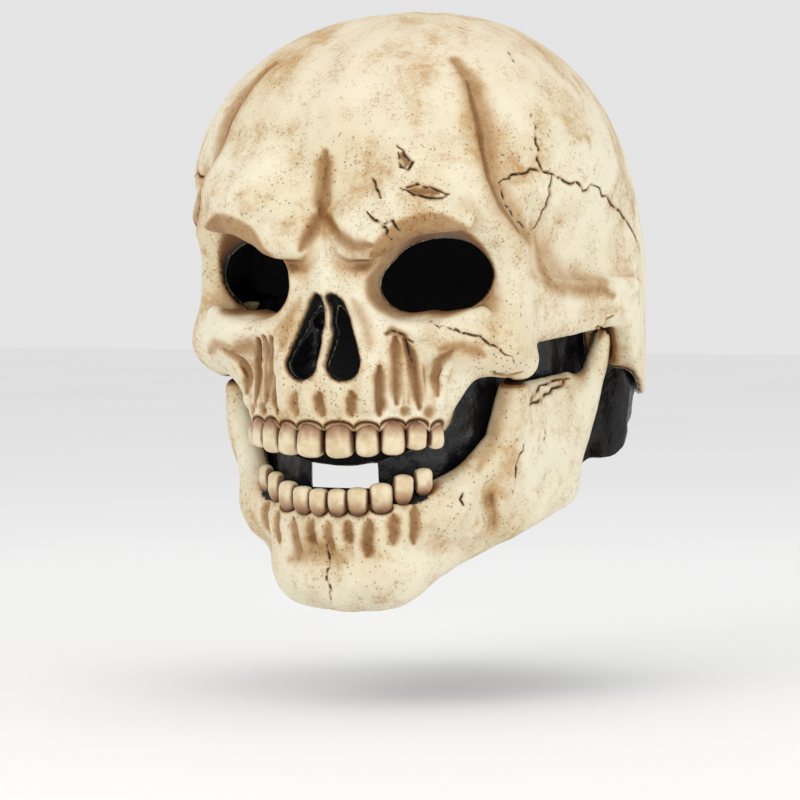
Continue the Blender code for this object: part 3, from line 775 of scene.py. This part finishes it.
def bone_surface(field, box, cell, lines):
    """The outside of a bone: its points with their stains, painted shade and lines, and its triangles."""
    points, quads = surface(field, box, cell)
    triangles = triangles_of(quads)
    for level in range(2):
        wanted = np.zeros(len(points), bool)
        for stroke, line in lines:
            if stroke.width < CRACK_WIDTH or (level == 0 and stroke.depth > 0.5):
                wanted |= stroke_distances(points, line) < stroke.width + 1.6 - 0.5 * level
        points, triangles = split_near(points, triangles, wanted)
        points = pulled_onto(field, points, cell, rounds=1)
    normals = slope_of(field, points)
    normals /= np.maximum(np.linalg.norm(normals, axis=1, keepdims=True), 1e-6)
    # brown wash and painted shade in the hollows, by how closed in each point lies
    stain = hollow_wash_and_shade(points, normals)
    brushed_stain_and_shade = np.zeros(len(points))
    line_paint = np.zeros(len(points))
    height = 0.32 * noise_at(points, 14) + 0.14 * noise_at(points, 5, 9.0)
    for stroke, line in lines:
        away = stroke_distances(points, line)
        height -= stroke.depth * (1 - np.clip(away / stroke.width, 0, 1) ** 2) ** 2
        # brushed brown stains along the strokes, painted shade along those named shade and in the grooves
        brushed_stain_and_shade = np.maximum(brushed_stain_and_shade, np.exp(-(away / stroke.stain) ** 2) * stroke.paint)
        if stroke.line:
            line_paint = np.maximum(line_paint, 1 - smooth_step(0.4 * stroke.line, stroke.line + 0.25, away))
    depth = points[:, 1]
    # the socket walls grow browner deeper in: brown paint with painted shade
    socket_wall_stain_and_shade = (0.8 + 0.5 * smooth_step(*SOCKET_BROWNS, depth)) * (depth < SOCKET_BACK)
    brushed_stain_and_shade = np.maximum(brushed_stain_and_shade, socket_wall_stain_and_shade * edge_paint(sockets, points, RIM_FADE))
    brushed_stain_and_shade = np.maximum(brushed_stain_and_shade, 0.95 * edge_paint(head_space, points, CUT_EDGE_FADE))
    brushed_stain_and_shade = np.maximum(brushed_stain_and_shade, 0.9 * edge_paint(nostrils, points, NOSE_FADE))
    height = np.maximum(height, -DEEPEST_GROOVE)
    values = {"hollow_wash_and_shade": stain, "brushed_stain_and_shade": brushed_stain_and_shade, "line": line_paint}
    return points + normals * height[:, None], triangles, values


def black_places(points):
    """1 where the bone is painted black: behind the teeth, in the nose, and deep in the eye sockets as
    painted shade.
    """
    x, y, z = left_half(points).T
    black = 1 - smooth_step(0.1, 0.7, evaluated(nostrils, points))
    black = np.maximum(black, 1 - smooth_step(0.5, 1.5, evaluated(head_space, points)))
    for row, teeth in TEETH.items():
        low, high = BLACK_HEIGHTS[row]
        arch = [(tooth.x, tooth.y) for tooth in teeth]
        last = arch[-1][0] - ARCH_SIDE
        corners = [(-ARCH_SIDE, ARCH_BACK), (-ARCH_SIDE, arch[0][1]), *arch, (last, ARCH_BACK)]
        behind = profile_distance(left_half(points), [0, 1], corners) < TEETH_COVER
        black[behind & (z > low) & (z < high)] = 1
    rim = evaluated(sockets, points)
    # deep round the eye holes the bone is painted black: painted shade
    black[(rim < EYE_REACH) & (x < EYE_SIDE) & (y > EYE_FRONT) & (z > EYE_BOTTOM)] = 1
    return np.maximum(black, (rim < 0.8) * smooth_step(*SOCKET_DARKENS, y))


def bone_piece(name, field, box, cell, hollow, hollow_box, hollow_cell, lines):
    """A bone with its hollow cut out. The value called inside marks the faces of the hollow, and the black
    paint and painted shade on the bone.
    """
    points, triangles, values = bone_surface(field, box, cell, lines)
    obj = new_mesh(name, points, triangles)
    for key, numbers in values.items():
        set_values(obj, key, numbers)
    set_values(obj, "inside", black_places(points))
    inner_points, inner_quads = surface(hollow, hollow_box, hollow_cell)
    cutter = new_mesh(name + "_hollow", inner_points, inner_quads)
    for key in values:
        set_values(cutter, key, np.zeros(len(inner_points)))
    set_values(cutter, "inside", np.ones(len(inner_points)))
    cut(obj, cutter)
    return obj


def cut(obj, cutter, operation="DIFFERENCE"):
    """Cuts with a Boolean and keeps only the result."""
    boolean = obj.modifiers.new("cut", "BOOLEAN")
    boolean.solver = "MANIFOLD"
    boolean.operation = operation
    boolean.object = cutter
    graph = bpy.context.evaluated_depsgraph_get()
    made = bpy.data.meshes.new_from_object(obj.evaluated_get(graph))
    obj.modifiers.clear()
    obj.data = made
    bpy.data.objects.remove(cutter)


# teeth
def tooth_piece(node, tooth, side, row, number, paint):
    """A tooth: crowned in front, narrow at the gum, with a worn biting edge."""
    segments, rings = 36, 26
    rng = np.random.default_rng(SEED + number)
    lean = rng.normal(0, 1.5)
    around = 2 * np.pi * np.arange(segments) / segments
    height = -np.cos(np.pi * np.arange(1, rings) / rings)
    height = np.sign(height) * np.abs(height) ** 0.8
    turn, level = (part.ravel() for part in np.meshgrid(around, height))
    gum = level if row == "upper" else -level
    end = np.where(gum > 0, 2.2, 5.5)
    round_off = np.maximum(1 - np.abs(level) ** end, 0) ** 0.5
    across = np.sign(np.cos(turn)) * np.abs(np.cos(turn)) ** 0.72
    deep = np.sign(np.sin(turn)) * np.abs(np.sin(turn)) ** 0.8
    narrowing = 1 - 0.06 * (gum + 1) - 0.06 * np.clip(gum, 0, 1) ** 2
    front = np.clip(-deep, 0, 1)
    bulge = 1 + 0.10 * front * (1 - level**2) - 0.05 * front * np.cos(3 * np.pi * across) * (gum < 0)
    wider, taller = TOOTH_SCALE[row]
    half = np.array((tooth.width * wider, tooth.thick, (tooth.high - tooth.low) * taller)) / 2
    local = np.stack([across * round_off * narrowing, deep * round_off * bulge, level], 1) * half
    poles = np.array([(0, 0, -half[2]), (0, 0, half[2])])
    local = np.concatenate([local, poles])
    tilt = Matrix.Rotation(np.radians(lean), 3, "Y") @ Matrix.Rotation(np.radians(tooth.turn), 3, "Z")
    placed = local @ np.array(tilt).T + (tooth.x, tooth.y, (tooth.low + tooth.high) / 2)
    placed += 0.12 * noise_at(placed, 3.0, number)[:, None]
    faces = []
    count = segments * (rings - 1)
    for segment in range(segments):
        after = (segment + 1) % segments
        faces.append((count, after, segment))
        last = count - segments
        faces.append((count + 1, last + segment, last + after))
        for ring in range(rings - 2):
            low, high = ring * segments, (ring + 1) * segments
            faces.append((low + segment, low + after, high + after))
            faces.append((low + segment, high + after, high + segment))
    faces = np.array(faces)
    if side < 0:
        faces = faces[:, ::-1]
    obj = new_mesh(node + "_painted", placed * (side, 1, 1), faces)
    set_values(obj, "gum", np.concatenate([(gum + 1) / 2, (0, 1) if row == "upper" else (1, 0)]))
    # the value called edge darkens the sides of each tooth: painted shade between the teeth
    set_values(obj, "edge", np.concatenate([np.abs(across * round_off) ** 4, (0, 0)]))
    obj.data.materials.append(paint)
    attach(obj, "root")
    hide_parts(node)


# materials
def new_node(tree, kind, values=(), **settings):
    made = tree.nodes.new(kind)
    for name, setting in settings.items():
        setattr(made, name, setting)
    for socket, value in dict(values).items():
        if isinstance(value, bpy.types.NodeSocket):
            tree.links.new(value, made.inputs[socket])
        else:
            made.inputs[socket].default_value = value
    return made


def maths(tree, operation, first, second=0.0):
    return new_node(tree, "ShaderNodeMath", {0: first, 1: second}, operation=operation).outputs[0]


def product(tree, first, second):
    return maths(tree, "MULTIPLY", first, second)


def ramp(tree, value, low, high, low_out=0.0, high_out=1.0):
    values = {"Value": value, "From Min": low, "From Max": high, "To Min": low_out, "To Max": high_out}
    return new_node(tree, "ShaderNodeMapRange", values, interpolation_type="SMOOTHSTEP").outputs[0]


def mixed(tree, share, first, second):
    values = {0: share, 6: first, 7: second}
    return new_node(tree, "ShaderNodeMix", values, data_type="RGBA").outputs[2]


def noise_of(tree, place, scale, detail=4.0, rough=0.55):
    values = {"Vector": place, "Scale": scale, "Detail": detail, "Roughness": rough}
    return new_node(tree, "ShaderNodeTexNoise", values).outputs[0]


def value_of(tree, name):
    return new_node(tree, "ShaderNodeAttribute", attribute_name=name).outputs["Fac"]


def dots(tree, place, scale, share, size):
    """Round dots in a share of the cells of a random pattern."""
    cells = new_node(tree, "ShaderNodeTexVoronoi", {"Vector": place, "Scale": scale, "Randomness": 1.0})
    kept = ramp(tree, new_node(tree, "ShaderNodeSeparateColor", {0: cells.outputs["Color"]}).outputs[0],
                1 - share, 1.01 - share)
    return product(tree, kept, ramp(tree, cells.outputs["Distance"], size, 0.4 * size))


def new_material(name, roughness):
    made = bpy.data.materials.new(name)
    made.use_nodes = True
    shader = made.node_tree.nodes["Principled BSDF"]
    shader.inputs["Roughness"].default_value = roughness
    place = new_node(made.node_tree, "ShaderNodeTexCoord").outputs["Object"]
    return made, made.node_tree, shader, place


IVORY = (0.76, 0.66, 0.45, 1)
PALE = (0.86, 0.80, 0.62, 1)
TAN = (0.52, 0.29, 0.095, 1)
BROWN = (0.18, 0.062, 0.012, 1)
# darkest brown deep in the creases: wash with painted shade
DEEP_WASH_AND_SHADE = (0.028, 0.010, 0.005, 1)
CRACK = (0.018, 0.010, 0.006, 1)
BLACK = (0.006, 0.006, 0.007, 1)
BLACK_SHEEN = (0.016, 0.016, 0.018, 1)
TOOTH_CREAM = (0.84, 0.73, 0.50, 1)
TOOTH_TAN = (0.70, 0.54, 0.32, 1)
TOOTH_BROWN = (0.36, 0.18, 0.085, 1)
TOOTH_GUM = (0.07, 0.026, 0.018, 1)
# painted shade on the sides of the teeth, between neighbours
TOOTH_SIDE_SHADE = (0.16, 0.07, 0.03, 1)
FLOOR_PALE = (0.93, 0.93, 0.93, 1)
FLOOR_PALER = (0.95, 0.95, 0.95, 1)


def add_bump(tree, shader, relief, strength, distance):
    bump = new_node(tree, "ShaderNodeBump", {"Strength": strength, "Distance": distance, "Height": relief})
    tree.links.new(bump.outputs[0], shader.inputs["Normal"])


def bone_material():
    made, tree, shader, place = new_material("painted bone latex", 0.5)
    broad = noise_of(tree, place, 22, 5.0, 0.6)
    middle = noise_of(tree, place, 90, 6.0, 0.65)
    fine = noise_of(tree, place, 420, 4.0, 0.6)
    colour = mixed(tree, ramp(tree, broad, 0.38, 0.62), PALE, IVORY)
    tan_share = product(tree, ramp(tree, middle, 0.52, 0.74), ramp(tree, broad, 0.35, 0.7))
    specks = product(tree, ramp(tree, fine, 0.54, 0.70), ramp(tree, middle, 0.42, 0.6))
    grime = noise_of(tree, place, 42, 10.0, 0.78)
    height = new_node(tree, "ShaderNodeSeparateXYZ", {0: place}).outputs[2]
    crown = product(tree, ramp(tree, height, -0.075, 0.0), product(tree, grime, 0.55))
    # the brown wash and painted shade of the hollows, laid unevenly
    uneven = maths(tree, "ADD", product(tree, grime, 1.3), 0.35)
    depth = product(tree, value_of(tree, "hollow_wash_and_shade"), uneven)
    stroke = product(tree, value_of(tree, "brushed_stain_and_shade"), uneven)
    # light and dark brown: stains and wash, with painted shade in the hollows and along the shade strokes
    light_stain_and_shade = maths(tree, "MAXIMUM", ramp(tree, depth, 0.12, 0.44), ramp(tree, stroke, 0.1, 0.8))
    dark_stain_and_shade = maths(tree, "MAXIMUM", ramp(tree, depth, 0.32, 0.62), ramp(tree, stroke, 0.35, 1.25, 0, 1.0))
    pitted = ramp(tree, broad, 0.40, 0.58)
    pits = product(tree, dots(tree, place, 560, 0.38, 0.30), pitted)
    pores = product(tree, dots(tree, place, 1100, 0.42, 0.38), ramp(tree, middle, 0.42, 0.58))
    all_pits = maths(tree, "MAXIMUM", pits, product(tree, pores, 0.7))
    coats = [
        (product(tree, tan_share, 0.75), TAN),
        (product(tree, specks, 0.5), TAN),
        (product(tree, ramp(tree, grime, 0.50, 0.68), 0.8), TAN),
        (crown, TAN),
        (product(tree, light_stain_and_shade, 0.75), TAN),
        (product(tree, dark_stain_and_shade, 0.85), BROWN),
        # darkest brown in the deepest creases: painted shade over the wash
        (ramp(tree, depth, 0.66, 0.98), DEEP_WASH_AND_SHADE),
        (product(tree, all_pits, 0.6), BROWN),
        (value_of(tree, "line"), CRACK),
        # black: black paint, the inside, and painted shade deep in the eye sockets
        (value_of(tree, "inside"), BLACK),
    ]
    for share, paint in coats:
        colour = mixed(tree, share, colour, paint)
    tree.links.new(colour, shader.inputs["Base Color"])
    tree.links.new(ramp(tree, middle, 0.3, 0.7, 0.44, 0.60), shader.inputs["Roughness"])
    shader.inputs["Specular IOR Level"].default_value = 0.25
    relief = maths(tree, "ADD", product(tree, fine, 0.25), product(tree, middle, 0.5))
    relief = maths(tree, "SUBTRACT", relief, product(tree, all_pits, 0.6))
    add_bump(tree, shader, relief, 0.7, 0.0009)
    return made


def tooth_material():
    made, tree, shader, place = new_material("painted tooth latex", 0.35)
    middle = noise_of(tree, place, 160, 5.0, 0.6)
    fine = noise_of(tree, place, 600, 3.0, 0.6)
    uneven = product(tree, maths(tree, "SUBTRACT", middle, 0.5), 0.4)
    gum = maths(tree, "ADD", value_of(tree, "gum"), uneven)
    colour = mixed(tree, ramp(tree, middle, 0.35, 0.65), TOOTH_CREAM, TOOTH_TAN)
    colour = mixed(tree, ramp(tree, gum, 0.38, 0.85), colour, TOOTH_BROWN)
    colour = mixed(tree, ramp(tree, gum, 0.74, 1.0), colour, TOOTH_GUM)
    # the sides of each tooth darken: painted shade between the teeth
    colour = mixed(tree, ramp(tree, value_of(tree, "edge"), 0.25, 0.85), colour, TOOTH_SIDE_SHADE)
    tree.links.new(colour, shader.inputs["Base Color"])
    relief = maths(tree, "ADD", product(tree, fine, 0.3), middle)
    add_bump(tree, shader, relief, 0.35, 0.0005)
    return made


def black_material():
    made, tree, shader, place = new_material("glossy black latex", 0.22)
    fine = noise_of(tree, place, 380, 4.0, 0.6)
    broad = noise_of(tree, place, 60, 4.0, 0.6)
    colour = mixed(tree, ramp(tree, broad, 0.4, 0.7), BLACK, BLACK_SHEEN)
    tree.links.new(colour, shader.inputs["Base Color"])
    tree.links.new(ramp(tree, broad, 0.3, 0.7, 0.16, 0.34), shader.inputs["Roughness"])
    shader.inputs["Specular IOR Level"].default_value = 0.32
    relief = maths(tree, "ADD", product(tree, fine, 0.3), broad)
    add_bump(tree, shader, relief, 0.7, 0.002)
    return made


# black latex
def side_prism(name, profile, half_width):
    """A closed solid of a side profile, from the right to the left of the head."""
    count = len(profile)
    points = np.array([(x, y, z) for x in (-half_width, half_width) for y, z in profile])
    mesh = bpy.data.meshes.new(name)
    faces = [tuple(range(count)), tuple(range(2 * count - 1, count - 1, -1))]
    for start in range(count):
        after = (start + 1) % count
        faces.append((after, start, count + start, count + after))
    mesh.from_pydata(((points - SEAT) * MM).tolist(), [], faces)
    obj = bpy.data.objects.new(name, mesh)
    bpy.context.scene.collection.objects.link(obj)
    return obj


def box_cutter(name, low, high):
    points = np.array(list(itertools.product(*zip(low, high))))
    faces = [(0, 1, 3, 2), (4, 6, 7, 5), (0, 4, 5, 1), (2, 3, 7, 6), (0, 2, 6, 4), (1, 5, 7, 3)]
    return new_mesh(name, points, faces)


def folded(field, points):
    """Latex pulled into upright folds beside the mouth."""
    slope = slope_of(field, points)
    slope /= np.maximum(np.linalg.norm(slope, axis=1, keepdims=True), 1e-6)
    across = np.arctan2(np.abs(points[:, 0]), -points[:, 1] + 30)
    wave = np.sin(across * 36 + 3.0 * noise_at(points, 18) + points[:, 2] * 0.06)
    height = 0.5 * wave + 0.8 * noise_at(points, 9, 4.0) + 0.35 * noise_at(points, 4, 2.0)
    return points + slope * (height - 0.4)[:, None]


def black_pieces(paint):
    points, quads = surface(under_skin_outside, UNDER_SKIN_BOX, UNDER_SKIN_CELL)
    skin = new_mesh("black_under_skin", folded(under_skin_outside, points), triangles_of(quads))
    points, quads = surface(under_skin_inside, UNDER_SKIN_BOX, UNDER_HOLLOW_CELL)
    cut(skin, new_mesh("under_hollow", points, quads))
    cut(skin, side_prism("skin_side", UNDER_SKIN_SIDE, 120), "INTERSECT")
    cut(skin, box_cutter("mouth_slot", *MOUTH_SLOT))
    points, quads = surface(nose_lining_outside, NOSE_BOX, NOSE_CELL)
    lining = new_mesh("black_nose_lining", points, triangles_of(quads))
    points, quads = surface(nose_lining_inside, NOSE_BOX, NOSE_CELL)
    cut(lining, new_mesh("nose_hollow", points, quads))
    for obj, node in ((skin, "under_skin"), (lining, "nose_lining")):
        obj.data.materials.clear()
        obj.data.materials.append(paint)
        obj.data.polygons.foreach_set("use_smooth", np.full(len(obj.data.polygons), True))
        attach(obj, "root")
        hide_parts(node)


# surroundings
FLOOR_HEIGHT, FLOOR_HALF = -165, 6000
WORLD_STRENGTH = 0.78
LIT_AT = (0, -20, -10)  # where the lamps point
Lamp = namedtuple("Lamp", "name place size watts colour")
LAMPS = [
    Lamp("key", (-500, -1400, 900), 0.8, 5.8, (1.0, 0.98, 0.95)),
    Lamp("fill", (1400, -700, 400), 1.0, 5, (1.0, 0.99, 0.97)),
    Lamp("top", (100, 200, 1500), 0.8, 3, (1.0, 1.0, 1.0)),
]


def area_light(name, place, size, watts, colour):
    light = bpy.data.objects.new(name, bpy.data.lights.new(name, "AREA"))
    light.data.size = size
    light.data.energy = watts
    light.data.color = colour
    where = np.array(place, float)
    aim = np.array(LIT_AT) - where
    light.location = ((where - SEAT) * MM).tolist()
    light.rotation_euler = Vector(aim).to_track_quat("-Z", "Y").to_euler()
    bpy.context.scene.collection.objects.link(light)


def make_surroundings():
    ring = ((-1, -1), (1, -1), (1, 1), (-1, 1))
    corners = [(x * FLOOR_HALF, y * FLOOR_HALF, FLOOR_HEIGHT) for x, y in ring]
    floor = new_mesh("floor", np.array(corners, float), [(0, 1, 2, 3)])
    made, tree, shader, place = new_material("pale floor", 0.8)
    tone = ramp(tree, noise_of(tree, place, 3), 0.3, 0.7)
    tree.links.new(mixed(tree, tone, FLOOR_PALE, FLOOR_PALER), shader.inputs["Base Color"])
    floor.data.materials.append(made)
    world = bpy.data.worlds.new("studio")
    bpy.context.scene.world = world
    world.use_nodes = True
    background = world.node_tree.nodes["Background"]
    background.inputs[0].default_value = (1.0, 1.0, 1.0, 1)
    background.inputs[1].default_value = WORLD_STRENGTH
    for lamp in LAMPS:
        area_light(*lamp)
    bpy.context.scene.view_settings.view_transform = "Standard"


def main():
    make_camera()
    lines = all_lines()
    skull_cell, jaw_cell = ((SKULL_CELL, JAW_CELL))
    bone = bone_material()
    skull = bone_piece("skull_bone", skull_outside, SKULL_BOX, skull_cell,
                       skull_cavity, SKULL_HOLLOW_BOX, SKULL_HOLLOW_CELL, lines)
    jaw = bone_piece("jaw_bone", jaw_outside, JAW_BOX, jaw_cell,
                     jaw_cavity, JAW_HOLLOW_BOX, JAW_HOLLOW_CELL, lines)
    for obj, node in ((skull, "skull_shell"), (jaw, "lower_jaw")):
        obj.data.materials.clear()
        obj.data.materials.append(bone)
        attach(obj, "root")
        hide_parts(node)
    enamel = tooth_material()
    number = 0
    for row, teeth in TEETH.items():
        for place, tooth in enumerate(teeth, 1):
            for side, letter in ((1, "l"), (-1, "r")):
                number += 1
                tooth_piece(f"{row}_tooth_{letter}{place}", tooth, side, row, number, enamel)
    black_pieces(black_material())
    make_surroundings()


main()
